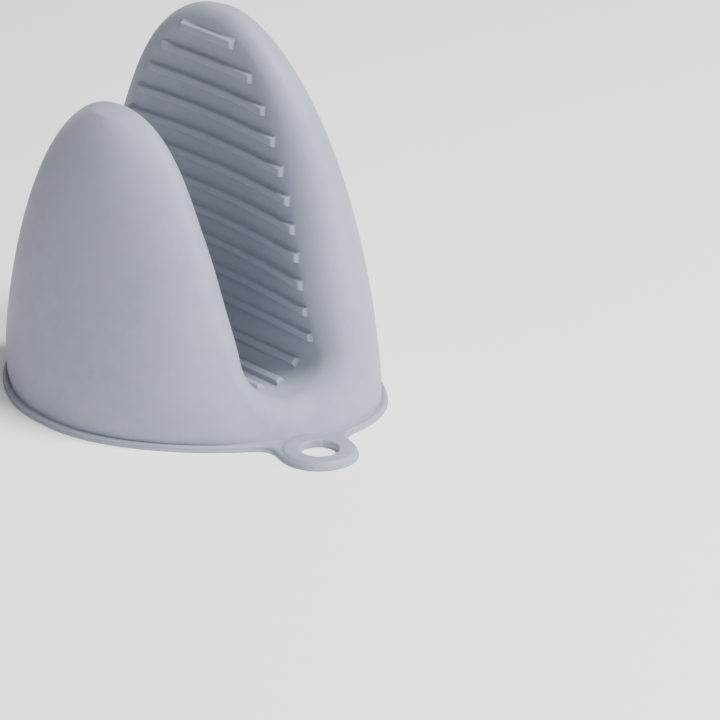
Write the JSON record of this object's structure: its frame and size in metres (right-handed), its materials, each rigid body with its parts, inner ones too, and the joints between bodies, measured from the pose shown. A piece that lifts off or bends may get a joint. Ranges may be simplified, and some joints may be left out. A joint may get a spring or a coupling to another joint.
{
  "type": "oven mitt",
  "caption": "Short moulded silicone oven mitt with a finger pocket and a thumb pocket that pinch together, ribbed jaw walls and a hanging loop on the cuff rim.",
  "frame": {"origin": "centre of the cuff's opening, on the plane that the mitt stands on", "axes": "+Z towards the fingertips, +X from the thumb pocket to the finger pocket, Y along the jaw with the hanging loop on the -Y side"},
  "size_m": [0.1004, 0.143, 0.1109],
  "materials": {
    "silicone": "matte"
  },
  "bodies": {
    "finger_side": {"finger_pocket": "silicone", "finger_rib_01": "silicone", "finger_rib_02": "silicone", "finger_rib_03": "silicone", "finger_rib_04": "silicone", "finger_rib_05": "silicone", "finger_rib_06": "silicone", "finger_rib_07": "silicone", "finger_rib_08": "silicone", "finger_rib_09": "silicone", "finger_rib_10": "silicone", "finger_rib_11": "silicone", "finger_rim": "silicone", "hanging_loop": "silicone", "web": "silicone", "web_rib_1": "silicone", "web_rib_2": "silicone", "web_rib_3": "silicone", "web_rib_4": "silicone", "web_rim": "silicone"},
    "thumb_side": {"thumb_pocket": "silicone", "thumb_rib_01": "silicone", "thumb_rib_02": "silicone", "thumb_rib_03": "silicone", "thumb_rib_04": "silicone", "thumb_rib_05": "silicone", "thumb_rib_06": "silicone", "thumb_rib_07": "silicone", "thumb_rim": "silicone"}
  },
  "joints": [
    {"name": "pinch", "type": "hinge", "parent": "finger_side", "child": "thumb_side", "pos_m": [0.001, 0, 0.009], "axis": [0, 1, 0], "range_deg": [-10, 17], "stiffness_Nm_per_rad": 0.8, "deforming": ["web", "web_rim"]}
  ]
}
